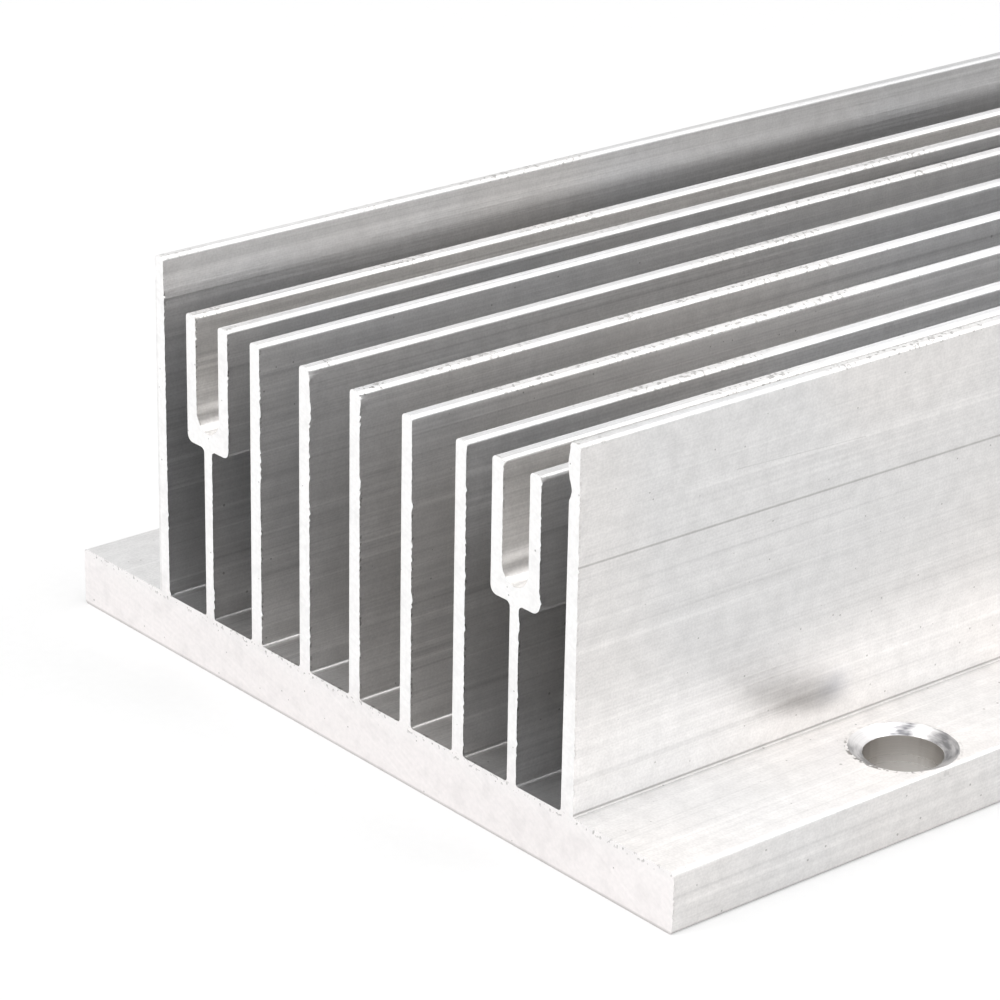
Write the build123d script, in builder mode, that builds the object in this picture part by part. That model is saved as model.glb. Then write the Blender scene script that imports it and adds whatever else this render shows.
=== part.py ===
from build123d import *
from math import atan2, degrees
import os

# Extruded heat sink: a flat base with a drilled flange each side, an outer wall at the root
# of each flange, five plain fins in the middle, and two stems that each carry a U-shaped
# screw channel. The section lies in XZ and runs along Y. The origin is the middle of the
# underside, with +Z up.

# Driving dimensions, in millimetres
length = 150.0

base_thickness = 5.25
flange_width = 11.6
base_top_radius = 1.3
base_bottom_radius = 0.5

screw_channel_spacing = 40.0
plain_fins = 5
fin_height = 26.85
fin_root_thickness = 1.36
fin_tip_thickness = 1.24

wall_height = 30.75
wall_root_thickness = 1.40
wall_tip_thickness = 1.12

stem_thickness = 1.05
channel_width = 3.2
channel_depth = 10.05
channel_web_thickness = 1.4
prong_thickness = 1.28
channel_corner_radius = 0.7
channel_neck_radius = 0.45

tip_radius = 0.38
root_radius = 0.3

hole_diameter = 6.6
countersink_diameter = 9.0
countersink_depth = 0.6
hole_to_flange_edge = 4.7
hole_to_end = 29.0

# Sizes that follow from them
fin_pitch = screw_channel_spacing / (plain_fins + 1)
channel_x = screw_channel_spacing / 2
wall_x = channel_x + fin_pitch
wall_face_x = wall_x + wall_root_thickness / 2
base_width = 2 * (wall_face_x + flange_width)
fin_top = base_thickness + fin_height
wall_top = base_thickness + wall_height
channel_outer_width = channel_width + 2 * prong_thickness
channel_floor = fin_top - channel_depth
channel_bottom = channel_floor - channel_web_thickness
stem_height = channel_bottom - base_thickness
hole_spacing_x = base_width - 2 * hole_to_flange_edge
hole_spacing_y = length - 2 * hole_to_end
countersink_step = (countersink_diameter - hole_diameter) / 2
countersink_angle = 2 * degrees(atan2(countersink_step, countersink_depth))
near = 0.01


def side_angle(root, tip, height):
    """Base angle of a fin that narrows evenly from its root to its tip."""
    return degrees(atan2(height, (root - tip) / 2))


def at_height(sketch, height):
    """The section's corners that lie at one height."""
    return sketch.vertices().filter_by_position(Axis.Y, height - near, height + near)


with BuildPart() as heat_sink:
    with BuildSketch(Plane.XZ) as section:
        # Base plate with its two flanges
        with Locations((0, base_thickness / 2)):
            Rectangle(base_width, base_thickness)
        fillet(at_height(section, 0), base_bottom_radius)
        fillet(at_height(section, base_thickness), base_top_radius)

        # Plain fins between the two screw channels
        with Locations((0, base_thickness)):
            with GridLocations(fin_pitch, 0, plain_fins, 1):
                Trapezoid(
                    fin_root_thickness,
                    fin_height,
                    side_angle(fin_root_thickness, fin_tip_thickness, fin_height),
                    align=(Align.CENTER, Align.MIN),
                )

        # Taller outer walls where the flanges begin
        with Locations((-wall_x, base_thickness), (wall_x, base_thickness)):
            Trapezoid(
                wall_root_thickness,
                wall_height,
                side_angle(wall_root_thickness, wall_tip_thickness, wall_height),
                align=(Align.CENTER, Align.MIN),
            )

        # Stems that carry the screw channels
        with Locations((-channel_x, base_thickness), (channel_x, base_thickness)):
            Rectangle(stem_thickness, stem_height, align=(Align.CENTER, Align.MIN))

        # Small fillets at every root, up to the outer faces of the walls
        roots = at_height(section, base_thickness).filter_by_position(
            Axis.X, -wall_face_x - near, wall_face_x + near
        )
        fillet(roots, root_radius)

        # U-shaped screw channels with a round floor, flush with the plain fins
        with Locations((-channel_x, channel_bottom), (channel_x, channel_bottom)):
            Rectangle(channel_outer_width, fin_top - channel_bottom, align=(Align.CENTER, Align.MIN))
        undersides = at_height(section, channel_bottom)
        necks = undersides.filter_by(
            lambda corner: abs(abs(corner.X) - channel_x) < stem_thickness
        )
        fillet(necks, channel_neck_radius)
        outer_corners = at_height(section, channel_bottom).filter_by(
            lambda corner: abs(abs(abs(corner.X) - channel_x) - channel_outer_width / 2) < near
        )
        fillet(outer_corners, channel_corner_radius)
        with Locations((-channel_x, channel_floor), (channel_x, channel_floor)):
            with Locations((0, channel_width / 2)):
                Circle(channel_width / 2, mode=Mode.SUBTRACT)
                Rectangle(
                    channel_width,
                    channel_depth - channel_width / 2,
                    align=(Align.CENTER, Align.MIN),
                    mode=Mode.SUBTRACT,
                )

        # Rounded tips on the fins, the channel prongs and the walls
        fillet(at_height(section, fin_top), tip_radius)
        fillet(at_height(section, wall_top), tip_radius)
    extrude(amount=length / 2, both=True)

    # Chamfered screw holes, two in each flange
    with Locations(Plane.XY.offset(base_thickness)):
        with GridLocations(hole_spacing_x, hole_spacing_y, 2, 2):
            CounterSinkHole(
                hole_diameter / 2,
                countersink_diameter / 2,
                depth=base_thickness,
                counter_sink_angle=countersink_angle,
            )

heat_sink.part.label = "heat_sink"

os.makedirs("parts", exist_ok=True)
export_step(heat_sink.part, "parts/heat_sink.step")
print("base width", round(base_width, 2), "height", wall_top, "volume", round(heat_sink.part.volume, 1))
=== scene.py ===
# %% [markdown]
# Heat sink
#
# A heat sink like this one is a single length of extruded aluminium. Hot metal is pushed through
# a steel die whose opening has the shape of the section, cut to length with a saw, and drilled.
# So the mesh can be made the same way: draw the section once, then push it along Y. The packed
# CAD part gives the frame, and this script gives the metal its edges, its burrs and its finish.

# %% Load the frame
import math

import bmesh
import bpy
from mathutils import Matrix, Vector, noise


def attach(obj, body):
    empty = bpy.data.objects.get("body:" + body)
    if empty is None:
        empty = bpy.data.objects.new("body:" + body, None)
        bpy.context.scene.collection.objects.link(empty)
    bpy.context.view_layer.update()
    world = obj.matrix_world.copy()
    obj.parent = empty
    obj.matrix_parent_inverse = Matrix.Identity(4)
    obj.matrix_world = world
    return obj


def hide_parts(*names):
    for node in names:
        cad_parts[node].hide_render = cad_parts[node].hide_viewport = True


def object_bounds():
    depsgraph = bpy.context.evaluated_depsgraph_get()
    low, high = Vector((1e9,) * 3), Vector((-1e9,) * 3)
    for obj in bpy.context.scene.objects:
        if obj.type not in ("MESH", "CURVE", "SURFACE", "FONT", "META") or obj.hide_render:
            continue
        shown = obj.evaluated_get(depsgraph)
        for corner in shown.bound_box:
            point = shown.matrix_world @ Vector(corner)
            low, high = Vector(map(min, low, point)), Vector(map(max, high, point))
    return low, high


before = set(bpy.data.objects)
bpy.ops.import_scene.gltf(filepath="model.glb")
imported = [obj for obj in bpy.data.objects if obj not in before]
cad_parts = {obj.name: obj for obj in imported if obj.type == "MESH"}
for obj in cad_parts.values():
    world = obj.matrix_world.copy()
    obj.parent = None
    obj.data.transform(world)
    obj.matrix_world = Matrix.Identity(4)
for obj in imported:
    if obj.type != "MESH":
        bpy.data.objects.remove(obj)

cad_low, cad_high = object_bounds()
print("CAD box", [round(value * 1000, 2) for value in (*cad_low, *cad_high)], "mm")

# %% [markdown]
# Sizes
#
# The section is described by a few sizes, in millimetres, as on a die drawing. The overall
# width, height and length come from the frame, so that the mesh always fills the same box.
# Everything else is placed from those and from the pitch of the stems.

# %% Sizes of the section
MM = 0.001
WIDTH = (cad_high.x - cad_low.x) / MM
HEIGHT = (cad_high.z - cad_low.z) / MM
LENGTH = (cad_high.y - cad_low.y) / MM

BASE = 5.25
FIN_TOP = 32.1
PITCH = 40.0 / 6
FIN_ROOT, FIN_TIP = 1.36, 1.24
WALL_ROOT, WALL_TIP = 1.40, 1.12
STEM = 1.05
CHANNEL_INSIDE, CHANNEL_OUTSIDE = 3.2, 5.76
CHANNEL_FLOOR, CHANNEL_UNDERSIDE = 22.05, 20.65

TIP_RADIUS = 0.38
ROOT_RADIUS, OUTER_ROOT_RADIUS = 0.3, 0.15
NECK_RADIUS = 0.45
CHANNEL_CORNER = 0.7
ALMOST_ALL = 0.999
FLANGE_TOP_RADIUS, FLANGE_FOOT_RADIUS = 0.4, 0.3

WALLS = (-4, 4)
CHANNELS = (-3, 3)
WALL_FACE = WALLS[1] * PITCH + WALL_ROOT / 2
print("section", round(WIDTH, 2), "by", round(HEIGHT, 2), "mm, pitch", round(PITCH, 3), "mm")

# %% [markdown]
# Camera
#
# The camera stands where the photographer stood. Its place is measured from the middle of the
# near sawn end, and it is turned by three angles: round the object, down at it, and a small
# roll. It goes in early, so that every later step can be looked at from the same place. The
# axes are built by hand, because a plain look-at has no roll.

# %% Camera at the photograph's angle
CAMERA_FROM_END = Vector((232.18, -180.24, 144.78))
CAMERA_ROUND, CAMERA_DOWN, CAMERA_ROLL = (math.radians(angle) for angle in (49.906, 22.538, 0.944))
CAMERA_LENS = 143.07
CAMERA_SENSOR = 36.0
UP = Vector((0, 0, 1))


def photo_camera():
    towards = Vector((math.sin(CAMERA_ROUND), -math.cos(CAMERA_ROUND), math.tan(CAMERA_DOWN)))
    back = towards.normalized()
    level = UP.cross(back).normalized()
    upright = back.cross(level)
    right = level * math.cos(CAMERA_ROLL) + upright * math.sin(CAMERA_ROLL)
    data = bpy.data.cameras.new("camera")
    data.sensor_width = CAMERA_SENSOR
    data.lens = CAMERA_LENS
    data.clip_start = 0.01
    camera = bpy.data.objects.new("camera", data)
    place = (CAMERA_FROM_END - Vector((0, LENGTH / 2, 0))) * MM
    turn = Matrix((right, back.cross(right), back)).transposed()
    camera.matrix_world = Matrix.Translation(place) @ turn.to_4x4()
    bpy.context.scene.collection.objects.link(camera)
    bpy.context.scene.camera = camera
    return camera


camera = photo_camera()
print("camera at", [round(value, 4) for value in camera.matrix_world.translation], "m")

# %% [markdown]
# Corners of the section
#
# An extrusion has no sharp corner, because a die can't make one. Each corner below is a point
# and the radius that rounds it. One function gives the corners of a plain stem, and another
# those of the U-shaped screw channel. Its floor is so round that its two corners all but meet.

# %% Corners, one stem at a time
def stem_corners(x, root, tip, top, left_root=ROOT_RADIUS, right_root=ROOT_RADIUS):
    return [
        (x - root / 2, BASE, left_root),
        (x - tip / 2, top, TIP_RADIUS),
        (x + tip / 2, top, TIP_RADIUS),
        (x + root / 2, BASE, right_root),
    ]


def wall_corners(x):
    """An outer wall. Its root is sharper on the side where the flange begins."""
    if x < 0:
        return stem_corners(x, WALL_ROOT, WALL_TIP, HEIGHT, left_root=OUTER_ROOT_RADIUS)
    return stem_corners(x, WALL_ROOT, WALL_TIP, HEIGHT, right_root=OUTER_ROOT_RADIUS)


def channel_corners(x):
    outside, inside, stem = CHANNEL_OUTSIDE / 2, CHANNEL_INSIDE / 2, STEM / 2
    left = [
        (-stem, BASE, ROOT_RADIUS),
        (-stem, CHANNEL_UNDERSIDE, NECK_RADIUS),
        (-outside, CHANNEL_UNDERSIDE, CHANNEL_CORNER),
        (-outside, FIN_TOP, TIP_RADIUS),
        (-inside, FIN_TOP, TIP_RADIUS),
        (-inside, CHANNEL_FLOOR, inside * ALMOST_ALL),
    ]
    right = [(-place, height, radius) for place, height, radius in reversed(left)]
    return [(x + place, height, radius) for place, height, radius in left + right]


def section_corners():
    corners = [
        (-WIDTH / 2, 0, FLANGE_FOOT_RADIUS),
        (-WIDTH / 2, BASE, FLANGE_TOP_RADIUS),
    ]
    for number in range(WALLS[0], WALLS[1] + 1):
        x = number * PITCH
        if number in WALLS:
            corners += wall_corners(x)
        elif number in CHANNELS:
            corners += channel_corners(x)
        else:
            corners += stem_corners(x, FIN_ROOT, FIN_TIP, FIN_TOP)
    corners += [
        (WIDTH / 2, BASE, FLANGE_TOP_RADIUS),
        (WIDTH / 2, 0, FLANGE_FOOT_RADIUS),
    ]
    return corners


print(len(section_corners()), "corners in the section")

# %% [markdown]
# Rounding the corners
#
# A corner of radius r is replaced by an arc that touches both of its straight runs. The run
# between two arcs is split into short steps, because the sawn end needs points to be ragged
# with. The long faces don't need them, but they cost little.

# %% Rounded outline
ARC_STEPS = 6
RUN_STEP = 0.2


def corner_arc(before, corner, after, radius):
    """Points of the arc that rounds one corner, from the run before it to the run after it."""
    point = Vector(corner)
    back = (Vector(before) - point).normalized()
    on = (Vector(after) - point).normalized()
    half_angle = back.angle(on) / 2
    reach = radius / math.tan(half_angle)
    start, end = point + back * reach, point + on * reach
    centre = point + (back + on).normalized() * (radius / math.sin(half_angle))
    spoke_start, spoke_end = start - centre, end - centre
    points = []
    for step in range(ARC_STEPS + 1):
        spoke = spoke_start.lerp(spoke_end, step / ARC_STEPS)
        points.append(centre + spoke.normalized() * radius)
    return points


def run_points(start, end):
    """Points strictly between the two ends of a straight run."""
    steps = max(1, round((end - start).length / RUN_STEP))
    return [start.lerp(end, step / steps) for step in range(1, steps)]


def rounded_outline(corners):
    """The closed outline of the section, as points in order."""
    count = len(corners)
    outline = []
    for index, (x, z, radius) in enumerate(corners):
        before = corners[index - 1][:2]
        after = corners[(index + 1) % count][:2]
        arc = corner_arc(before, (x, z), after, radius)
        if outline:
            outline += run_points(outline[-1], arc[0])
        outline += arc
    outline += run_points(outline[-1], outline[0])
    return outline


outline = rounded_outline(section_corners())
print(len(outline), "points round the section")

# %% [markdown]
# Stations along the length
#
# The section is repeated at a few places along Y. They crowd together within a millimetre of
# each sawn end, where the burrs fade out. In between the metal is straight, and only the
# holes get a station on each side, so that no face runs far past them.

# %% Stations
END_STATIONS = (0.0, 0.09, 0.22, 0.45, 0.9, 1.6)
HOLE_FROM_END = 29.0
HOLE_MARGIN = 5.4


def station_places():
    near = [*END_STATIONS, HOLE_FROM_END - HOLE_MARGIN, HOLE_FROM_END + HOLE_MARGIN]
    far = [LENGTH - place for place in reversed(near)]
    return [place - LENGTH / 2 for place in near + far]


stations = station_places()
print(len(stations), "stations from", stations[0], "to", stations[-1], "mm")

# %% [markdown]
# Saw burrs
#
# The saw leaves the metal on one side of each fin, and drags a thin ragged lip of it along.
# On this piece that is the right-hand side. The lip is a shift of the end points towards +X.
# Fine noise makes its ripple, and a slow one makes it come and go.

# %% Burrs on the sawn ends
BURR_REACH = 0.21
BURR_DEPTH = 0.45
BURR_FADE = 1.5
BURRS_ABOVE = 0.6
RIGHT_FACING = 0.2
NEAR_SEED, FAR_SEED, SLOW_SEED = 3.0, 11.0, 40.0

# Marks per millimetre in X and in Z
RIPPLE_SCALE, SLOW_SCALE = (3.1, 3.6), (1.3, 0.45)
LEAST_STRENGTH = 0.25


def noise_at(x, z, scale, seed):
    return noise.noise(Vector((x * scale[0], z * scale[1], seed)))


def ragged(x, z, seed):
    """How far the lip stands out at one place, as a share of the burr's reach."""
    ripple = noise_at(x, z, RIPPLE_SCALE, seed)
    slow = noise_at(x, z, SLOW_SCALE, seed + SLOW_SEED)
    strength = min(1.0, max(LEAST_STRENGTH, 0.5 + slow * 1.3))
    return strength * max(0.0, 0.3 + ripple * 1.1)


def burr_shift(point, facing, inward, seed):
    """How far a point of the section moves in X at one distance from a sawn end."""
    fade = max(0.0, 1.0 - inward / BURR_DEPTH) ** BURR_FADE
    if facing < RIGHT_FACING or fade == 0.0 or point.y < BURRS_ABOVE:
        return 0.0
    return BURR_REACH * ragged(point.x, point.y, seed) * facing * fade


print("burrs reach", BURR_REACH, "mm, and fade out within", BURR_DEPTH, "mm of an end")

# %% [markdown]
# Knocked edges
#
# At the near end the lip is torn in some places, and an edge was knocked in at others. They are
# added one by one. Each falls away at its own rate above its peak and below it, so that a long
# lip can end in a sharp tooth.

# %% Knocks on the near end
KNOCK_DEPTH = 0.9
KNOCK_BULGE = 0.5
STEM_REACH = 3.2

# Stem number, side, height of the peak, reach above it, reach below it, and how far it stands out
KNOCKS = (
    (-1, 1, 27.7, 3.2, 0.35, 0.26),
    (-1, 1, 31.2, 0.5, 0.5, 0.12),
    (0, 1, 31.2, 0.5, 0.9, 0.14),
    (0, 1, 24.4, 0.5, 0.4, 0.16),
    (1, 1, 24.6, 0.4, 0.4, 0.16),
    (3, 1, 21.6, 0.9, 0.5, 0.18),
    (4, -1, 34.2, 1.1, 1.1, 0.18),
    (4, -1, 32.1, 0.9, 0.9, -0.30),
    (-4, -1, 34.4, 0.7, 0.7, -0.14),
)


def knock_shift(point, side, inward):
    """The shift of one end point by the knocks near it, outwards for a positive reach."""
    shift = 0.0
    for number, knock_side, peak, above, below, reach in KNOCKS:
        across = abs(point.x - number * PITCH)
        fall = above if point.y > peak else below
        along = abs(point.y - peak) / fall
        if side == knock_side and across < STEM_REACH and along < 1.0:
            shift += side * reach * (1 - along) * (1 + along * KNOCK_BULGE)
    return shift * max(0.0, 1.0 - inward / KNOCK_DEPTH)


def outward_normals(points):
    """The direction that faces out of the metal at each point of the outline."""
    normals = []
    for index, point in enumerate(points):
        along = points[(index + 1) % len(points)] - points[index - 1]
        normals.append(Vector((-along.y, along.x)).normalized())
    return normals


normals = outward_normals(outline)
print(len(KNOCKS), "knocks, and", len(normals), "points that can move")

# %% [markdown]
# Pushing the section through
#
# Each station is one ring of vertices, and each pair of rings is joined by quads. Each end is
# filled with triangles between the points of its ring. A single many-sided face would do for
# a plain outline, but one with such deep bays in it shades badly.

# %% Extruded mesh
def station_ring(mesh, place):
    near_end, far_end = place - stations[0], stations[-1] - place
    ring = []
    for point, normal in zip(outline, normals):
        side = 1 if normal.x > 0 else -1
        shift = burr_shift(point, normal.x, near_end, NEAR_SEED)
        shift += burr_shift(point, normal.x, far_end, FAR_SEED)
        shift += knock_shift(point, side, near_end)
        ring.append(mesh.verts.new(((point.x + shift) * MM, place * MM, point.y * MM)))
    return ring


def extruded_mesh():
    mesh = bmesh.new()
    rings = [station_ring(mesh, place) for place in stations]
    for ring, following in zip(rings, rings[1:]):
        for index in range(len(ring)):
            before = index - 1
            mesh.faces.new((ring[before], ring[index], following[index], following[before]))
    for ring in (rings[0], rings[-1]):
        rim = [mesh.edges.get((ring[index - 1], ring[index])) for index in range(len(ring))]
        bmesh.ops.triangle_fill(mesh, edges=rim, use_beauty=True)
    bmesh.ops.recalc_face_normals(mesh, faces=mesh.faces)
    data = bpy.data.meshes.new("extruded_body")
    mesh.to_mesh(data)
    mesh.free()
    return data


body = bpy.data.objects.new("extruded_body", extruded_mesh())
bpy.context.scene.collection.objects.link(body)
print(len(body.data.polygons), "faces in the extrusion")

# %% [markdown]
# Drilled holes
#
# Each flange is drilled through, and a larger drill has opened the mouth to a shallow cone.
# A drill is a turned shape, so the cutter is a profile spun round the hole's axis. A little
# wobble in the cone tears its rim. A boolean takes the cutter out of the flange.

# %% Cutter for the holes
HOLE_RADIUS, MOUTH_RADIUS, MOUTH_DEPTH = 3.3, 4.5, 0.6
HOLE_FROM_EDGE = 4.7
HOLE_X = WIDTH / 2 - HOLE_FROM_EDGE
HOLE_Y = LENGTH / 2 - HOLE_FROM_END
DRILL_SIDES = 160
CLEAR_OF_METAL = 1.0
SLOW_WOBBLE, QUICK_WOBBLE = 2.2, 11.0
QUICK_SHARE = 0.7
SEED_STEP = 9.0
CONE_SLOPE = (MOUTH_RADIUS - HOLE_RADIUS) / MOUTH_DEPTH

# Radius, height and wobble of the cutter, from below the flange to above it. No ring of it lies
# in the flange's own plane, because a cut along a shared plane can go wrong.
DRILL_PROFILE = (
    (HOLE_RADIUS, -CLEAR_OF_METAL, 0.0),
    (HOLE_RADIUS, BASE - MOUTH_DEPTH, 0.05),
    (HOLE_RADIUS + CONE_SLOPE * MOUTH_DEPTH / 2, BASE - MOUTH_DEPTH / 2, 0.03),
    (MOUTH_RADIUS + CONE_SLOPE * CLEAR_OF_METAL, BASE + CLEAR_OF_METAL, 0.2),
)


def cutter_ring(mesh, x, y, radius, height, wobble, seed):
    ring = []
    for side in range(DRILL_SIDES):
        angle = math.tau * side / DRILL_SIDES
        spoke = Vector((math.cos(angle), math.sin(angle), 0))
        slow = noise.noise(spoke * SLOW_WOBBLE + UP * seed)
        quick = noise.noise(spoke * QUICK_WOBBLE + UP * seed)
        reach = radius + wobble * (slow + quick * QUICK_SHARE)
        place = Vector((x + spoke.x * reach, y + spoke.y * reach, height))
        ring.append(mesh.verts.new(place * MM))
    return ring


def drill_cutter(places):
    mesh = bmesh.new()
    for number, (x, y) in enumerate(places):
        seed = number * SEED_STEP
        rings = [cutter_ring(mesh, x, y, *row, seed) for row in DRILL_PROFILE]
        for ring, following in zip(rings, rings[1:]):
            for side in range(DRILL_SIDES):
                before = side - 1
                mesh.faces.new((ring[before], ring[side], following[side], following[before]))
        mesh.faces.new(rings[0][::-1])
        mesh.faces.new(rings[-1])
    bmesh.ops.recalc_face_normals(mesh, faces=mesh.faces)
    data = bpy.data.meshes.new("drill_cutter")
    mesh.to_mesh(data)
    mesh.free()
    return bpy.data.objects.new("drill_cutter", data)


hole_places = [(x, y) for x in (-HOLE_X, HOLE_X) for y in (-HOLE_Y, HOLE_Y)]
print(len(hole_places), "holes at", round(HOLE_X, 2), "and", round(HOLE_Y, 2), "mm")

# %% Drill the flanges
def drilled_mesh(piece, cutter):
    """The piece's mesh with the cutter taken out of it, as a mesh of its own."""
    bpy.context.scene.collection.objects.link(cutter)
    cut = piece.modifiers.new("drill", "BOOLEAN")
    cut.operation = "DIFFERENCE"
    cut.solver = "EXACT"
    cut.object = cutter
    bpy.context.view_layer.update()
    seen = piece.evaluated_get(bpy.context.evaluated_depsgraph_get())
    mesh = bpy.data.meshes.new_from_object(seen)
    piece.modifiers.clear()
    bpy.data.objects.remove(cutter)
    return mesh


def volume_of(data):
    """The volume of a mesh in cubic millimetres, and how many edges don't join two faces."""
    mesh = bmesh.new()
    mesh.from_mesh(data)
    odd_edges = sum(1 for edge in mesh.edges if len(edge.link_faces) != 2)
    volume = mesh.calc_volume() / MM**3
    mesh.free()
    return round(volume), odd_edges


print("volume and odd edges before drilling", volume_of(body.data))
body.data = drilled_mesh(body, drill_cutter(hole_places))
print("volume and odd edges after drilling", volume_of(body.data))

# %% [markdown]
# Three finishes on one piece
#
# The metal is the same all over, but three tools have touched it: the die, the saw and the
# drill. Each face gets the finish of its tool, found from where it is and which way it faces:
# a sawn face is at an end and faces along Y, and a drilled one faces a hole's own axis.

# %% Sort the faces by tool
DIE, SAW, DRILL = range(3)
SHARP_EDGE = math.radians(20)
SAWN_FACING, SAWN_WITHIN = 0.9, 0.05
DRILLED_FACING, DRILLED_WITHIN = -0.2, 0.3


def tool_of(face):
    centre = face.center / MM
    from_end = abs(abs(centre.y) - LENGTH / 2)
    if abs(face.normal.y) > SAWN_FACING and from_end < SAWN_WITHIN:
        return SAW
    for x, y in hole_places:
        spoke = Vector((centre.x - x, centre.y - y))
        inward = face.normal.x * spoke.x + face.normal.y * spoke.y
        if spoke.length < MOUTH_RADIUS + DRILLED_WITHIN and inward < DRILLED_FACING:
            return DRILL
    return DIE


for face in body.data.polygons:
    face.material_index = tool_of(face)
    face.use_smooth = True
body.data.set_sharp_from_angle(angle=SHARP_EDGE)
tools = [face.material_index for face in body.data.polygons]
print("faces by die, saw and drill:", [tools.count(tool) for tool in (DIE, SAW, DRILL)])

# %% [markdown]
# Helpers for nodes
#
# A material is a small graph of nodes, and most of them are sums. The first helper adds a node
# of any kind, and the others add the sums. Many sums make a mask: 1 where an effect shows and 0
# where it doesn't.

# %% Helpers for nodes and sums
def add_node(tree, kind, inputs=None, **settings):
    """Adds a node, sets its fields, and gives each named input a number or a link."""
    node = tree.nodes.new(kind)
    for field, value in settings.items():
        setattr(node, field, value)
    for socket, value in (inputs or {}).items():
        if isinstance(value, bpy.types.NodeSocket):
            tree.links.new(value, node.inputs[socket])
        else:
            node.inputs[socket].default_value = value
    return node


def maths(tree, operation, first, second=0.0, clamp=False):
    inputs = {0: first, 1: second}
    node = add_node(tree, "ShaderNodeMath", inputs, operation=operation, use_clamp=clamp)
    return node.outputs[0]


def add(tree, first, *others):
    total = first
    for value in others:
        total = maths(tree, "ADD", total, value)
    return total


def multiply(tree, first, *others):
    product = first
    for value in others:
        product = maths(tree, "MULTIPLY", product, value)
    return product


def at_most_one(tree, value):
    return maths(tree, "MINIMUM", value, 1.0)


# %% [markdown]
# Helpers for ranges and places
#
# A tone is often one value mapped onto another range. Noise seldom leaves the middle of its own
# range, so a change made by noise is mapped from there. A mask is often a place compared with a
# limit. Object coordinates are in metres and the sizes here in millimetres, so these helpers
# turn one into the other.

# %% Helpers for ranges and places
X, Y, Z = range(3)
NOISE_LOW, NOISE_HIGH = 0.3, 0.7


def remap(tree, value, low, high, to_low=0.0, to_high=1.0):
    """Maps low to high onto two new limits, and holds the value there beyond them."""
    limits = {"From Min": low, "From Max": high, "To Min": to_low, "To Max": to_high}
    return add_node(tree, "ShaderNodeMapRange", {"Value": value, **limits}).outputs["Result"]


def vary(tree, texture, low, high):
    """Maps the middle of a noise's range onto two new limits."""
    return remap(tree, texture, NOISE_LOW, NOISE_HIGH, low, high)


def either(tree, mask, without, inside):
    """One number where the mask is 0, and another where it is 1."""
    return remap(tree, mask, 0.0, 1.0, without, inside)


def ramp(tree, place, start, end, to_low=0.0, to_high=1.0):
    """Changes evenly from one place in millimetres to another."""
    return remap(tree, place, start * MM, end * MM, to_low, to_high)


def within(tree, value, centre, half):
    """1 at the centre, falling evenly to 0 at half a width away."""
    offset = maths(tree, "ABSOLUTE", maths(tree, "SUBTRACT", value, centre))
    return maths(tree, "SUBTRACT", 1.0, maths(tree, "DIVIDE", offset, half), clamp=True)


def near_place(tree, place, centre, half):
    """The same in millimetres."""
    return within(tree, place, centre * MM, half * MM)


def more_than(tree, place, limit):
    return maths(tree, "GREATER_THAN", place, limit * MM)


def less_than(tree, place, limit):
    return maths(tree, "LESS_THAN", place, limit * MM)


def beside(tree, place, centre, half):
    """1 all the way out to half a width from the centre, and 0 beyond it."""
    offset = maths(tree, "ABSOLUTE", maths(tree, "SUBTRACT", place, centre * MM))
    return less_than(tree, offset, half)


print("noise is used from", NOISE_LOW, "to", NOISE_HIGH)

# %% [markdown]
# Helpers for colours and groups
#
# Colours are blended by a mask, or made lighter and darker by a tone. A node group is a graph
# with a name and sockets of its own, so one effect can be built once and placed in several
# materials with other values.

# %% Helpers for colours, textures and groups
def blend_colours(tree, amount, first, second):
    node = add_node(tree, "ShaderNodeMix", {"Factor": amount}, data_type="RGBA")
    for index, colour in ((6, first), (7, second)):
        if isinstance(colour, bpy.types.NodeSocket):
            tree.links.new(colour, node.inputs[index])
        else:
            node.inputs[index].default_value = (*colour, 1)
    return node.outputs[2]


def shade_colour(tree, colour, tone):
    inputs = {0: colour, "Scale": tone}
    return add_node(tree, "ShaderNodeVectorMath", inputs, operation="SCALE").outputs[0]


def vector_maths(tree, operation, first, second):
    inputs = {0: first, 1: second}
    return add_node(tree, "ShaderNodeVectorMath", inputs, operation=operation).outputs


def combine(tree, x=0.0, y=0.0, z=0.0):
    return add_node(tree, "ShaderNodeCombineXYZ", {0: x, 1: y, 2: z}).outputs[0]


def split(tree, vector):
    return add_node(tree, "ShaderNodeSeparateXYZ", {0: vector}).outputs


def object_place(tree):
    return add_node(tree, "ShaderNodeTexCoord").outputs["Object"]


def noise_value(tree, vector, scale, detail=1.0):
    inputs = {"Vector": vector, "Scale": scale, "Detail": detail}
    return add_node(tree, "ShaderNodeTexNoise", inputs).outputs["Fac"]


def new_group(name, inputs, outputs):
    """An empty shader node group with number sockets, and its input and output sockets."""
    group = bpy.data.node_groups.new(name, "ShaderNodeTree")
    for socket, value in inputs.items():
        made = group.interface.new_socket(socket, in_out="INPUT", socket_type="NodeSocketFloat")
        made.default_value = value
    for socket in outputs:
        group.interface.new_socket(socket, in_out="OUTPUT", socket_type="NodeSocketFloat")
    entry = group.nodes.new("NodeGroupInput")
    leave = group.nodes.new("NodeGroupOutput")
    return group, entry.outputs, leave.inputs


def use_group(tree, group, **inputs):
    """Places a group with its own values, and hands back its outputs."""
    node = add_node(tree, "ShaderNodeGroup", node_tree=group)
    for socket, value in inputs.items():
        node.inputs[socket.replace("_", " ").title()].default_value = value
    return node.outputs


# %% [markdown]
# Lines along the extrusion
#
# The die drags fine lines along the whole length of the metal. They are noise that is squeezed
# across the section and stretched along Y. Because the noise is three-dimensional, the lines
# run along Y on every face, whichever way it looks. Across and Along are marks per metre.

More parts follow.
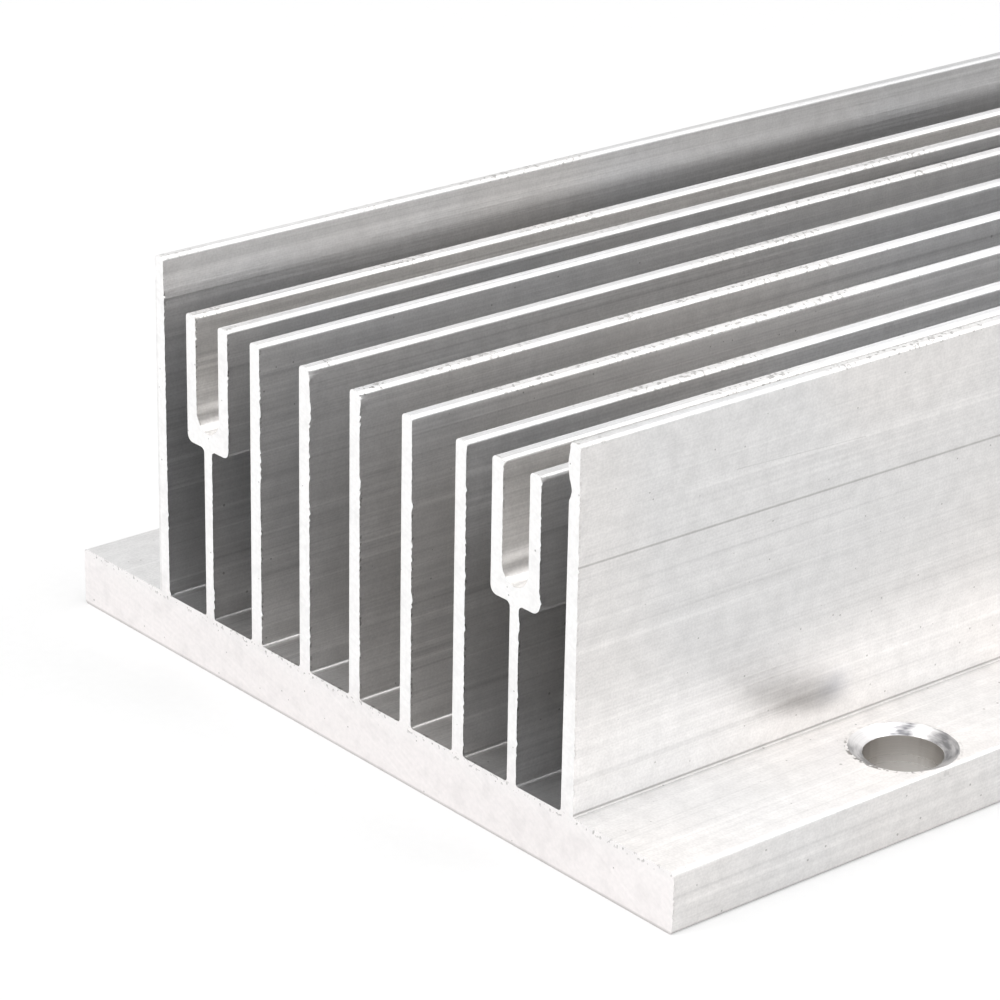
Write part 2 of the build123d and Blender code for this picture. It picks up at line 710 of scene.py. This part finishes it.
# %% Group: drawn lines
def drawn_lines_group():
    inputs = {"Across": 1000.0, "Along": 10.0, "Offset": 0.0}
    group, given, result = new_group("drawn_lines", inputs, ["Tone"])
    scale = combine(group, given["Across"], given["Along"], given["Across"])
    stretched = vector_maths(group, "MULTIPLY", object_place(group), scale)[0]
    moved = vector_maths(group, "ADD", stretched, given["Offset"])[0]
    group.links.new(noise_value(group, moved, 1.0), result["Tone"])
    return group


drawn_lines = drawn_lines_group()
print("group", drawn_lines.name)

# %% [markdown]
# Pits, crumbs and a painted contact shadow
#
# Handling and storage leave two more marks on bare aluminium, whichever tool cut it. Pits are
# tiny dark dots, one in some of the cells of a Voronoi texture. Crumbs are the torn bits that
# cling to an edge, so their noise is only used near one. Few and Many cut the same noise at two
# levels. The third group is a painted contact shadow: a thin dark line at the foot of the base.

# %% Groups: pits, crumbs and painted contact shadow
def pits_group():
    inputs = {"Spacing": 500.0, "Size": 0.08, "Share": 0.5}
    group, given, result = new_group("pits", inputs, ["Mask"])
    texture = {"Vector": object_place(group), "Scale": given["Spacing"]}
    cells = add_node(group, "ShaderNodeTexVoronoi", texture).outputs
    chosen = add_node(group, "ShaderNodeSeparateColor", {0: cells["Color"]}).outputs[0]
    size = multiply(group, given["Size"], add(group, chosen, 0.4))
    dot = within(group, cells["Distance"], 0.0, size)
    kept = maths(group, "LESS_THAN", chosen, given["Share"])
    group.links.new(at_most_one(group, multiply(group, dot, kept, 3.0)), result["Mask"])
    return group


def crumbs_group():
    inputs = {"Scale": 2600.0, "Share": 0.5}
    group, given, result = new_group("crumbs", inputs, ["Few", "Many"])
    texture = noise_value(group, object_place(group), given["Scale"])
    level = maths(group, "SUBTRACT", 0.72, multiply(group, given["Share"], 0.3))
    few = remap(group, texture, level, add(group, level, 0.05))
    many = remap(group, texture, maths(group, "SUBTRACT", level, 0.09), level)
    group.links.new(few, result["Few"])
    group.links.new(many, result["Many"])
    return group


# Painted contact shadow: dark within a reach of the floor.
def foot_shadow_group():
    group, given, result = new_group("foot_shadow", {"Reach": 0.0002}, ["Mask"])
    place = split(group, object_place(group))
    group.links.new(within(group, place[Z], 0.0, given["Reach"]), result["Mask"])
    return group


pits, crumbs, foot_shadow = pits_group(), crumbs_group(), foot_shadow_group()
print("groups", pits.name, crumbs.name, foot_shadow.name)

# %% [markdown]
# Round a hole
#
# All four holes are the same distance from the middle, so the size of X and of Y is enough to
# find the nearest hole's axis. This group measures from there: how far out a point is, and which
# way. Out X and Out Y are the parts of that direction. Out X grows towards the flange's edge,
# and Out Y towards the nearer sawn end.

# %% Group: round a hole
def round_hole_group():
    group, _, result = new_group("round_hole", {}, ["Radius", "Out X", "Out Y"])
    place = split(group, object_place(group))
    out_x = maths(group, "SUBTRACT", maths(group, "ABSOLUTE", place[X]), HOLE_X * MM)
    out_y = maths(group, "SUBTRACT", maths(group, "ABSOLUTE", place[Y]), HOLE_Y * MM)
    squares = add(group, multiply(group, out_x, out_x), multiply(group, out_y, out_y))
    radius = maths(group, "SQRT", squares)
    group.links.new(radius, result["Radius"])
    group.links.new(maths(group, "DIVIDE", out_x, radius), result["Out X"])
    group.links.new(maths(group, "DIVIDE", out_y, radius), result["Out Y"])
    return group


def facing_from_axis(tree, out, direction, full, none):
    """1 within one angle of a direction from the hole's axis, falling to 0 at another."""
    x, y = direction
    cosine = add(tree, multiply(tree, out["Out X"], x), multiply(tree, out["Out Y"], y))
    return remap(tree, cosine, math.cos(math.radians(none)), math.cos(math.radians(full)))


round_hole = round_hole_group()
print("group", round_hole.name)

# %% [markdown]
# Die lines
#
# A chip stuck in the die scores one deeper line. It stays at nearly the same height all along.
# Height is where it starts at the near end, and Drop is how much it falls per metre. Start and
# End are how far from the near end it begins and stops.

# %% Group: die line
def die_line_group():
    inputs = {"Height": 0.02, "Half Width": 0.00005, "Drop": 0.0, "Start": 0.0, "End": 1.0}
    group, given, result = new_group("die_line", inputs, ["Mask"])
    place = split(group, object_place(group))
    along = add(group, place[Y], LENGTH / 2 * MM)
    line_height = maths(group, "SUBTRACT", given["Height"], multiply(group, along, given["Drop"]))
    line = within(group, place[Z], line_height, given["Half Width"])
    started = maths(group, "GREATER_THAN", along, given["Start"])
    not_ended = maths(group, "LESS_THAN", along, given["End"])
    group.links.new(multiply(group, line, started, not_ended), result["Mask"])
    return group


die_line = die_line_group()
print("group", die_line.name)

# %% [markdown]
# The metal itself
#
# Bare aluminium is a metal, so its colour is the colour of its reflections. The thin dull skin
# that it grows in air scatters a little light as well, which is why it isn't metallic all the
# way. The three finishes start from the same shader and differ in colour and roughness. Marks
# are laid over the metal one after another, each with its mask, its strength and its shade.

# %% Bare aluminium
METALLIC = 0.85
# Dark colour for real dirt, and also for painted shade and a painted contact shadow.
DIRT_AND_SHADE = (0.17, 0.16, 0.15)


def metal_material(name):
    material = bpy.data.materials.new(name)
    material.use_nodes = True
    shader = material.node_tree.nodes["Principled BSDF"]
    shader.inputs["Metallic"].default_value = METALLIC
    return material, material.node_tree, shader


def face_normal(tree):
    return add_node(tree, "ShaderNodeNewGeometry").outputs["Normal"]


def lay_marks(tree, colour, marks):
    """The colour with each mark blended into it, in order."""
    for mask, strength, shade in marks:
        colour = blend_colours(tree, multiply(tree, mask, strength), colour, shade)
    return colour


def finish_surface(tree, shader, colour, roughness, height, bump, depth):
    """Links the shader's colour and roughness, and a bump whose depth is in millimetres."""
    inputs = {"Strength": bump, "Distance": depth * MM, "Height": height}
    tree.links.new(colour, shader.inputs["Base Color"])
    tree.links.new(roughness, shader.inputs["Roughness"])
    tree.links.new(add_node(tree, "ShaderNodeBump", inputs).outputs[0], shader.inputs["Normal"])


print("metallic", METALLIC)

# %% [markdown]
# Tone of the drawn lines
#
# The next few cells build the finish of all the long faces. Its tone is a product of small
# changes. The first are made by noise: two sizes of drawn lines, a few bright and dark streaks,
# clouds and a fine grain. The lines are softer on the outer faces, which have been handled more.

# %% Tone of the drawn lines
INNER_LINES, OUTER_LINES = 0.72, 0.42


def line_tone(tree, outer):
    """The tone of the drawn lines, and their height for the roughness and the bump."""
    fine = use_group(tree, drawn_lines, across=6500.0, along=28.0, offset=1.0)["Tone"]
    broad = use_group(tree, drawn_lines, across=2100.0, along=11.0, offset=4.0)["Tone"]
    fine_tone = remap(tree, fine, 0.25, 0.75, -0.11, 0.09)
    broad_tone = vary(tree, broad, -0.06, 0.05)
    bright_streaks = remap(tree, broad, 0.64, 0.74, 0.0, 0.14)
    dark_streaks = remap(tree, broad, 0.34, 0.24, 0.0, -0.16)
    change = add(tree, fine_tone, broad_tone, bright_streaks, dark_streaks)
    strength = either(tree, outer, INNER_LINES, OUTER_LINES)
    return add(tree, 1.0, multiply(tree, change, strength)), fine


def grain_tone(tree):
    """A fine grain and larger clouds."""
    place = object_place(tree)
    grain = remap(tree, noise_value(tree, place, 5200.0, 0.0), 0.25, 0.75, 0.95, 1.04)
    clouds = vary(tree, noise_value(tree, place, 620.0), 0.955, 1.035)
    return multiply(tree, grain, clouds)


print("strength of the lines:", INNER_LINES, "inside and", OUTER_LINES, "outside")

# %% [markdown]
# Painted light and shade by place
#
# These tones paint light and shade into the metal's colour: a place is made a little paler or
# darker as the lamps, and what it reflects, would make it. Each change runs evenly between two
# places on one axis, so a table can hold it. The slots get painted shade low down and at both
# sides, and painted light further along. The top of the left wall's inside gets a painted
# reflection, palest at the near end. The screw channels are painted brighter, most where they look
# up.

# %% Painted light and shade by place
NEAR_END = -LENGTH / 2
CHANNEL_HALF = 1.8
LEFT_WALL_INSIDE = -25.5
LEFT_WALL_PALE_FROM, LEFT_WALL_PALE_TO = 28.0, 31.5

# Painted shade and light in the slots, and a painted reflection on the top of the left wall's
# inside
# Axis, the two places in millimetres that the change runs between, and the change at each
SLOT_LIGHT_AND_SHADE = (
    (X, -19.0, -14.5, -0.06, 0.045),
    (X, 14.5, 19.0, 0.0, -0.065),
    (Z, 6.0, 17.0, -0.07, 0.0),
)
LEFT_WALL_LIGHT_AND_SHADE = (
    (Y, -60.0, 10.0, 0.08, -0.12),
    (Z, 32.5, 35.5, 0.1, -0.05),
)


def tone_changes(tree, place, table):
    return add(tree, *(ramp(tree, place[axis], *limits) for axis, *limits in table))


def slot_light_and_shade(tree, place):
    """Painted shade and light between the walls. Further along, it grows paler to the right."""
    further = ramp(tree, place[Y], NEAR_END + 8.0, NEAR_END + 34.0, 0.0, 0.045)
    to_right = ramp(tree, place[X], -5.0, 7.0, 0.8, 3.2)
    on_left_wall = less_than(tree, place[X], LEFT_WALL_INSIDE)
    near_tip = ramp(tree, place[Z], LEFT_WALL_PALE_FROM, LEFT_WALL_PALE_TO)
    left_wall = multiply(tree, on_left_wall, near_tip, tone_changes(tree, place, LEFT_WALL_LIGHT_AND_SHADE))
    in_slots = tone_changes(tree, place, SLOT_LIGHT_AND_SHADE)
    return add(tree, in_slots, multiply(tree, further, to_right), left_wall)


def outer_light_and_shade(tree, place, facing):
    """Painted light and shade on the flanges, and painted shade at each wall's foot above them."""
    flange = less_than(tree, place[Z], BASE + 0.1)
    # Painted shade on the left flange, painted light on the right, and a painted sheen facing up.
    flange_shade_by_side = either(tree, more_than(tree, place[X], 0.0), -0.055, 0.02)
    flange_sheen_by_face = remap(tree, facing[Z], 0.7, 0.98, 0.0, 0.04)
    foot = ramp(tree, place[Z], BASE, 12.0, -0.035, 0.0)
    above = maths(tree, "SUBTRACT", 1.0, flange)
    on_flange = multiply(tree, add(tree, flange_shade_by_side, flange_sheen_by_face), flange)
    return add(tree, on_flange, multiply(tree, foot, above))


def in_channel(tree, place):
    """1 on the inner faces of the screw channels, and 0 elsewhere."""
    from_middle = maths(tree, "ABSOLUTE", place[X])
    across = beside(tree, from_middle, CHANNELS[1] * PITCH, CHANNEL_HALF)
    return multiply(tree, across, more_than(tree, place[Z], CHANNEL_FLOOR - 0.1))


def face_light_and_shade(tree, place, facing, outer):
    """Painted light and shade of a face by its place and facing, as a factor."""
    inside, outside = slot_light_and_shade(tree, place), outer_light_and_shade(tree, place, facing)
    # The screw channels are painted brighter, most where their faces look up.
    channel_sheen_by_face = remap(tree, facing[Z], 0.2, 0.7, 0.13, 0.28)
    channel = multiply(tree, in_channel(tree, place), channel_sheen_by_face)
    return add(tree, 1.0, either(tree, outer, inside, outside), channel)


print(len(SLOT_LIGHT_AND_SHADE) + len(LEFT_WALL_LIGHT_AND_SHADE), "changes of tone in the tables")

# %% [markdown]
# Painted shade in corners, and dirt along edges
#
# Where each wall meets its flange, a thin dark line with a faint haze above it is painted shade.
# Dirt stays where a cloth doesn't reach: crumbs along the sawn ends and the tops of the fins. The
# crumbs come and go with a slow noise, and are thickest where two fins were hit. Round the mouth
# of each hole they are torn metal, most of it on one side. Each function below gives a mask, and
# the finish lays dark colour on by it.

# %% Painted shade in corners, and dirt along edges
FIN_EDGE, WALL_EDGE = FIN_TOP - 0.1, HEIGHT - 0.1
EDGE_HALF = 0.34
INSIDE_WALLS = 24.0
HIT_FROM_END, HIT_FULL = 3.6, 1.0
HIT_HALF = 4.4
RIM_HALF = 0.3

# Direction from the hole's axis, and the angles where the crumbs are full and where they end
RIM_CRUMBS = ((0.10, 0.995), 46.0, 72.0)


def wall_foot_shade(tree, place):
    """Painted shade: a thin dark line at the foot of each wall's outer face, and a haze above it.
    """
    line = near_place(tree, place[Z], BASE + 0.13, 0.19)
    haze = ramp(tree, place[Z], BASE + 1.6, BASE + 0.2, 0.0, 0.12)
    on_wall = beside(tree, maths(tree, "ABSOLUTE", place[X]), WALL_FACE, 0.1)
    dark = maths(tree, "MAXIMUM", at_most_one(tree, multiply(tree, line, 1.6)), haze)
    return multiply(tree, dark, on_wall)


def end_crumbs(tree, place, slow, outer):
    """How thick the crumbs are along the sawn ends."""
    from_end = maths(tree, "SUBTRACT", LENGTH / 2 * MM, maths(tree, "ABSOLUTE", place[Y]))
    ends = multiply(tree, ramp(tree, from_end, 0.3, 0.1), either(tree, outer, 1.0, 0.3))
    return multiply(tree, ends, remap(tree, slow, 0.44, 0.58, 0.1, 0.8))


def top_crumbs(tree, place, slow):
    """How thick the crumbs are along the tops of the fins and the walls."""
    from_middle = maths(tree, "ABSOLUTE", place[X])
    fin_tops = near_place(tree, place[Z], FIN_EDGE, EDGE_HALF)
    wall_tops = near_place(tree, place[Z], WALL_EDGE, EDGE_HALF)
    inside_walls = less_than(tree, from_middle, INSIDE_WALLS)
    tops = multiply(tree, add(tree, multiply(tree, fin_tops, inside_walls), wall_tops), 2.0)
    return multiply(tree, at_most_one(tree, tops), remap(tree, slow, 0.5, 0.6, 0.0, 0.65))


def hit_crumbs(tree, place):
    """How thick the crumbs are on top of the two fins that were hit at the near end."""
    fin_tops = near_place(tree, place[Z], FIN_EDGE, EDGE_HALF)
    near_end = ramp(tree, place[Y], NEAR_END + HIT_FROM_END, NEAR_END + HIT_FULL)
    two_fins = beside(tree, place[X], -PITCH / 2, HIT_HALF)
    return at_most_one(tree, multiply(tree, fin_tops, near_end, two_fins, 2.0))


def edge_crumbs(tree, place, slow, outer, loose):
    ends_or_tops = maths(
        tree, "MAXIMUM", end_crumbs(tree, place, slow, outer), top_crumbs(tree, place, slow)
    )
    return multiply(tree, loose, maths(tree, "MAXIMUM", ends_or_tops, hit_crumbs(tree, place)))


def rim_crumbs(tree, place, torn):
    """Dark torn metal on one side of each hole's mouth, with a little elsewhere."""
    out = use_group(tree, round_hole)
    rim = within(tree, out["Radius"], (MOUTH_RADIUS + 0.03) * MM, RIM_HALF * MM)
    share = maths(tree, "MAXIMUM", facing_from_axis(tree, out, *RIM_CRUMBS), 0.2)
    on_flange = more_than(tree, place[Z], BASE - 1.0)
    return multiply(tree, at_most_one(tree, multiply(tree, rim, 2.5)), torn, share, on_flange)


print("crumbs within", EDGE_HALF, "mm of a top edge and", RIM_HALF, "mm of a hole's rim")

# %% [markdown]
# Marks and a painted reflection on the near wall
#
# Two die lines run along the outer face of the near wall, and the second is short and faint. A
# painted reflection of the hole, a soft grey patch, lies low on the same face, beside the hole.
# It is the product of two masks that fall off evenly, so it is darkest in the middle and has no
# edge.

# %% Marks and a painted reflection on the near wall
LONG_LINE = {"height": 26.08 * MM, "half_width": 0.14 * MM, "drop": 0.005}
SHORT_LINE = {"height": 30.86 * MM, "half_width": 0.07 * MM, "drop": 0.045}
SHORT_RUN = {"start": 16.0 * MM, "end": 30.0 * MM}
SHORT_STRENGTH = 0.4
# Place, size and grey of the painted reflection of the hole
HOLE_REFLECTION_FROM_END, HOLE_REFLECTION_HEIGHT = 27.8, 8.5
HOLE_REFLECTION_HALF_LENGTH, HOLE_REFLECTION_HALF_HEIGHT = 2.4, 1.9
HOLE_REFLECTION_GREY = (0.34, 0.36, 0.43)


def on_near_wall(tree, place, facing):
    """1 on the outer face of the near wall, and 0 elsewhere."""
    faces_out = maths(tree, "GREATER_THAN", facing[X], 0.9)
    return multiply(tree, faces_out, more_than(tree, place[X], WALL_FACE - 0.5))


def scored_lines(tree):
    long_line = use_group(tree, die_line, **LONG_LINE)["Mask"]
    short_line = use_group(tree, die_line, **SHORT_LINE, **SHORT_RUN)["Mask"]
    return add(tree, long_line, multiply(tree, short_line, SHORT_STRENGTH))


# A painted reflection of the hole: a soft grey patch on the near wall.
def hole_reflection(tree, place):
    along = near_place(tree, place[Y], NEAR_END + HOLE_REFLECTION_FROM_END, HOLE_REFLECTION_HALF_LENGTH)
    up = near_place(tree, place[Z], HOLE_REFLECTION_HEIGHT, HOLE_REFLECTION_HALF_HEIGHT)
    return multiply(tree, along, up)


print("hole_reflection", HOLE_REFLECTION_FROM_END, "mm from the near end and", HOLE_REFLECTION_HEIGHT, "mm up")

# %% [markdown]
# Finish left by the die
#
# The metal's colour drifts between a cool and a warm grey in slow clouds. The outer faces have a
# wider drift than the slots. That colour is shaded by the tones above, which paint in light and
# shade, and then the marks are laid on it, some of them painted shade, shadow and reflection. The
# drawn lines also change the roughness, and both they and the die lines have a little depth.

# %% Die finish
OUTER_COOL, OUTER_WARM = (0.732, 0.726, 0.724), (0.764, 0.746, 0.734)
INNER_COOL, INNER_WARM = (0.728, 0.727, 0.731), (0.750, 0.738, 0.729)
CHANNEL_METAL = (0.747, 0.736, 0.726)


def die_colour(tree, place, slow, outer):
    warmth = remap(tree, slow, 0.36, 0.64)
    inside = blend_colours(tree, warmth, INNER_COOL, INNER_WARM)
    inside = blend_colours(tree, in_channel(tree, place), inside, CHANNEL_METAL)
    outside = blend_colours(tree, warmth, OUTER_COOL, OUTER_WARM)
    return blend_colours(tree, outer, inside, outside)


def die_finish():
    material, tree, shader = metal_material("die_finish")
    place, facing = split(tree, object_place(tree)), split(tree, face_normal(tree))
    outer = more_than(tree, maths(tree, "ABSOLUTE", place[X]), WALL_FACE - 0.2)
    slow = noise_value(tree, object_place(tree), 52.0, 0.0)
    lines, line_height = line_tone(tree, outer)
    # The tone includes painted light and shade by place.
    tone = multiply(tree, lines, face_light_and_shade(tree, place, facing, outer), grain_tone(tree))
    colour = shade_colour(tree, die_colour(tree, place, slow, outer), tone)

    near_wall = on_near_wall(tree, place, facing)
    scored = multiply(tree, scored_lines(tree), near_wall)
    loose = use_group(tree, crumbs, scale=2600.0, share=0.46)
    marks = (
        # A painted reflection of the hole on the near wall.
        (multiply(tree, hole_reflection(tree, place), near_wall), 0.32, HOLE_REFLECTION_GREY),
        (use_group(tree, pits, spacing=700.0, size=0.13, share=0.42)["Mask"], 0.5, DIRT_AND_SHADE),
        (scored, 0.52, DIRT_AND_SHADE),
        # Painted shade at the foot of each wall.
        (wall_foot_shade(tree, place), 0.56, DIRT_AND_SHADE),
        (edge_crumbs(tree, place, slow, outer, loose["Few"]), 0.8, DIRT_AND_SHADE),
        (rim_crumbs(tree, place, loose["Many"]), 0.9, DIRT_AND_SHADE),
        # Painted contact shadow at the foot of the base.
        (use_group(tree, foot_shadow, reach=0.35 * MM)["Mask"], 0.5, DIRT_AND_SHADE),
    )
    colour = lay_marks(tree, colour, marks)
    roughness = vary(tree, line_height, 0.31, 0.38)
    height = maths(tree, "SUBTRACT", line_height, scored)
    finish_surface(tree, shader, colour, roughness, height, bump=0.4, depth=0.03)
    return material


die_metal = die_finish()
print(die_metal.name, len(die_metal.node_tree.nodes), "nodes")

# %% [markdown]
# Finish left by the saw
#
# A sawn face is freshly cut, so it is nearly white. The blade is a large disc, and each tooth
# leaves a faint arc. The arcs are the distance from the blade's axis, which lay far below the
# piece, put through a noise. The thick base came out a little duller than the fins. The dirt on
# it is a few pits, crumbs along the top of the base and a grey left edge, and its foot gets a
# painted contact shadow.

# %% Saw finish
SAWN_BASE, SAWN_FINS = (0.925, 0.894, 0.890), (0.968, 0.962, 0.957)
DULL_UP_TO, BRIGHT_FROM = 3.5, 8.0
BLADE_AXIS = (-60.0, 0.0, -150.0)
ACROSS_BLADE = (1.0, 0.0, 1.0)


def saw_arcs(tree):
    flat = vector_maths(tree, "MULTIPLY", object_place(tree), ACROSS_BLADE)[0]
    axis = [value * MM for value in BLADE_AXIS]
    reach = vector_maths(tree, "DISTANCE", flat, axis)["Value"]
    return noise_value(tree, combine(tree, reach), 3200.0)


def saw_finish():
    material, tree, shader = metal_material("saw_finish")
    place = split(tree, object_place(tree))
    grain = noise_value(tree, object_place(tree), 2600.0)
    clouds = noise_value(tree, object_place(tree), 620.0)
    arc_tone = vary(tree, saw_arcs(tree), 0.975, 1.008)
    grain_tone = vary(tree, grain, 0.965, 1.02)
    cloud_tone = remap(tree, clouds, 0.3, 0.5, 0.955, 1.0)
    up = ramp(tree, place[Z], DULL_UP_TO, BRIGHT_FROM)
    colour = blend_colours(tree, up, SAWN_BASE, SAWN_FINS)
    colour = shade_colour(tree, colour, multiply(tree, arc_tone, grain_tone, cloud_tone))

    loose = use_group(tree, crumbs, scale=2600.0, share=0.45)["Few"]
    top_of_base = near_place(tree, place[Z], BASE - 0.25, 0.4)
    left_edge = near_place(tree, place[X], 0.12 - WALL_FACE, 0.24)
    above_base = more_than(tree, place[Z], BASE)
    marks = (
        (use_group(tree, pits, spacing=1000.0, size=0.15, share=0.34)["Mask"], 0.5, DIRT_AND_SHADE),
        (multiply(tree, loose, top_of_base), 0.5, DIRT_AND_SHADE),
        # Painted contact shadow at the foot of the sawn end.
        (use_group(tree, foot_shadow, reach=0.3 * MM)["Mask"], 0.5, DIRT_AND_SHADE),
        (multiply(tree, left_edge, above_base), 0.14, DIRT_AND_SHADE),
    )
    colour = lay_marks(tree, colour, marks)
    roughness = vary(tree, grain, 0.45, 0.58)
    finish_surface(tree, shader, colour, roughness, grain, bump=0.3, depth=0.04)
    return material


saw_metal = saw_finish()
print(saw_metal.name, len(saw_metal.node_tree.nodes), "nodes")

# %% [markdown]
# Finish left by the drill
#
# The drill leaves rings. In the bore they are level grooves, one for each turn of the feed,
# and on the cone they are circles round the axis. The cone was cut with a blunt edge, which
# chattered, so it shines in some places and shows dark reflections in others; these are painted
# dark, in smears that run round the cone. Each is a direction from the axis and an angle to each
# side of it. One side of the bore is painted darker as shade.

# %% Drill finish
# The bore's own colour, and its colour in painted shade.
BORE_METAL, BORE_SHADED = (0.676, 0.656, 0.632), (0.552, 0.526, 0.500)
# The cone's colour, and the colour of its painted dark reflections.
CONE_METAL, CONE_DARK_REFLECTION = (0.80, 0.79, 0.79), (0.12, 0.12, 0.13)
RING_SCALE = 7600.0
RING_DETAIL = 2.0
STREAK_SPREAD = (2.6, 2.6, 2400.0)
CONE_FACING = 0.4

# Direction from the hole's axis, and the angles where the bore's painted shade is darkest and
# where it ends
BORE_SHADED_SIDE = ((-0.644, 0.765), 30.0, 150.0)

# Direction of each painted dark reflection, the angles where it is full and ends, and how dark
DARK_REFLECTION_PLACES = (
    ((-0.76, -0.65), 11.0, 24.0, 0.8),
    ((0.47, -0.88), 32.0, 50.0, 0.68),
    ((-0.34, 0.94), 20.0, 40.0, 0.58),
)


def streaks_round(tree, out):
    """Noise drawn out round the axis: fine along the radius and slow round the cone."""
    turn = combine(tree, out["Out X"], out["Out Y"], out["Radius"])
    spread = vector_maths(tree, "MULTIPLY", turn, STREAK_SPREAD)[0]
    return noise_value(tree, spread, 1.0, RING_DETAIL)


def cone_dark_reflections(tree, out):
    """Painted dark reflections of the chattered places on the cone."""
    total = 0.0
    for direction, full, none, darkness in DARK_REFLECTION_PLACES:
        inside = facing_from_axis(tree, out, direction, full, none)
        total = maths(tree, "ADD", total, multiply(tree, inside, darkness), clamp=True)
    streaks = remap(tree, streaks_round(tree, out), 0.34, 0.62, 0.45, 1.2)
    return at_most_one(tree, multiply(tree, total, streaks))


def drill_finish():
    material, tree, shader = metal_material("drill_finish")
    out = use_group(tree, round_hole)
    place, facing = split(tree, object_place(tree)), split(tree, face_normal(tree))
    on_cone = maths(tree, "GREATER_THAN", facing[Z], CONE_FACING)
    ring_place = combine(tree, x=out["Radius"], z=place[Z])
    rings = noise_value(tree, ring_place, RING_SCALE, RING_DETAIL)

    # Painted shade on one side of the bore.
    bore_shade = facing_from_axis(tree, out, *BORE_SHADED_SIDE)
    bore = blend_colours(tree, bore_shade, BORE_METAL, BORE_SHADED)
    bore = shade_colour(tree, bore, vary(tree, rings, 0.94, 1.06))
    # Painted dark reflections on the chattered cone.
    cone = blend_colours(tree, cone_dark_reflections(tree, out), CONE_METAL, CONE_DARK_REFLECTION)
    cone = shade_colour(tree, cone, vary(tree, rings, 0.88, 1.08))
    colour = blend_colours(tree, on_cone, bore, cone)
    roughness = vary(tree, rings, 0.26, 0.38)
    finish_surface(tree, shader, colour, roughness, rings, bump=0.22, depth=0.02)
    return material


drill_metal = drill_finish()
print(drill_metal.name, len(drill_metal.node_tree.nodes), "nodes")

# %% [markdown]
# Dressing the piece
#
# The materials go into the mesh in the order of the tools, because each face already holds the
# number of its tool. Then the CAD solid that it stands for is hidden, and the piece is attached
# to the body it rides on.

# %% Dress the piece, and let it stand for the CAD solid
for finish in (die_metal, saw_metal, drill_metal):
    body.data.materials.append(finish)
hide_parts("heat_sink")
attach(body, "root")
body.data.calc_loop_triangles()
print(len(body.data.loop_triangles), "triangles")

# %% [markdown]
# Floor and backdrop
#
# The object stands on a sheet of pale paper that fills the picture. Paper under lamps is never
# quite white, so it also glows a little, but only for the rays that show it: those that reach
# the camera directly, by a reflection, or through glass. No light is added to the object, and
# its shadow stays on the paper.

# %% Floor
FLOOR_TONE = 0.6
FLOOR_GLOW = 0.36
FLOOR_HALF = 3.0
PAPER_FIBRES = 900.0
PAPER_CHANGE = 0.01


def seen_rays(tree):
    """1 for the rays that show the background, and 0 for those that only light the object."""
    path = add_node(tree, "ShaderNodeLightPath").outputs
    seen = maths(tree, "MAXIMUM", path["Is Camera Ray"], path["Is Glossy Ray"])
    return maths(tree, "MAXIMUM", seen, path["Is Transmission Ray"])


def paper():
    material = bpy.data.materials.new("paper")
    material.use_nodes = True
    tree = material.node_tree
    shader = tree.nodes["Principled BSDF"]
    fibres = noise_value(tree, object_place(tree), PAPER_FIBRES)
    dark, pale = FLOOR_TONE * (1 - PAPER_CHANGE), FLOOR_TONE * (1 + PAPER_CHANGE)
    tone = vary(tree, fibres, dark, pale)
    tree.links.new(combine(tree, tone, tone, tone), shader.inputs["Base Color"])
    shader.inputs["Roughness"].default_value = 0.9
    shader.inputs["Specular IOR Level"].default_value = 0.0
    shader.inputs["Emission Color"].default_value = (1, 1, 1, 1)
    glow = multiply(tree, seen_rays(tree), FLOOR_GLOW)
    tree.links.new(glow, shader.inputs["Emission Strength"])
    return material


def make_floor():
    mesh = bpy.data.meshes.new("floor")
    half = FLOOR_HALF
    corners = [(-half, -half, 0), (half, -half, 0), (half, half, 0), (-half, half, 0)]
    mesh.from_pydata(corners, [], [(0, 1, 2, 3)])
    floor = bpy.data.objects.new("floor", mesh)
    floor.data.materials.append(paper())
    bpy.context.scene.collection.objects.link(floor)
    return floor


floor = make_floor()
print("floor", floor.dimensions[:2], "m")

# %% Backdrop
WORLD_LIGHT = 0.25


def make_backdrop():
    """White where it is seen, and dim where it only lights the paper."""
    world = bpy.data.worlds.new("backdrop")
    bpy.context.scene.world = world
    world.use_nodes = True
    tree = world.node_tree
    background = tree.nodes["Background"]
    background.inputs["Color"].default_value = (1, 1, 1, 1)
    strength = either(tree, seen_rays(tree), WORLD_LIGHT, 1.0)
    tree.links.new(strength, background.inputs["Strength"])


make_backdrop()
print("world light", WORLD_LIGHT)

# %% [markdown]
# Lamps
#
# Bare metal shows what surrounds it, so it is lit with large soft boxes. The one overhead is
# the main light. The flange reflects the one behind, on the right, and so stands out from the
# wall beside it. The one in front lights the sawn end. They are dim enough that the palest metal
# stays just under white.

# %% Soft boxes
def soft_box(name, place, side, watts):
    """A square lamp that looks at the object. Its place and side are in metres."""
    data = bpy.data.lights.new(name, "AREA")
    data.size = side
    data.energy = watts
    light = bpy.data.objects.new(name, data)
    light.location = place
    light.rotation_euler = (-Vector(place)).to_track_quat("-Z", "Y").to_euler()
    bpy.context.scene.collection.objects.link(light)
    print(name, watts, "W,", side, "m wide")


soft_box("overhead", (0.2, 0.1, 1.2), 1.2, 11.8)
soft_box("behind_right", (0.9, 0.95, 0.75), 0.9, 3.4)
soft_box("in_front", (-0.5, -0.9, 0.7), 0.6, 6.0)
bpy.context.scene.view_settings.view_transform = "Standard"
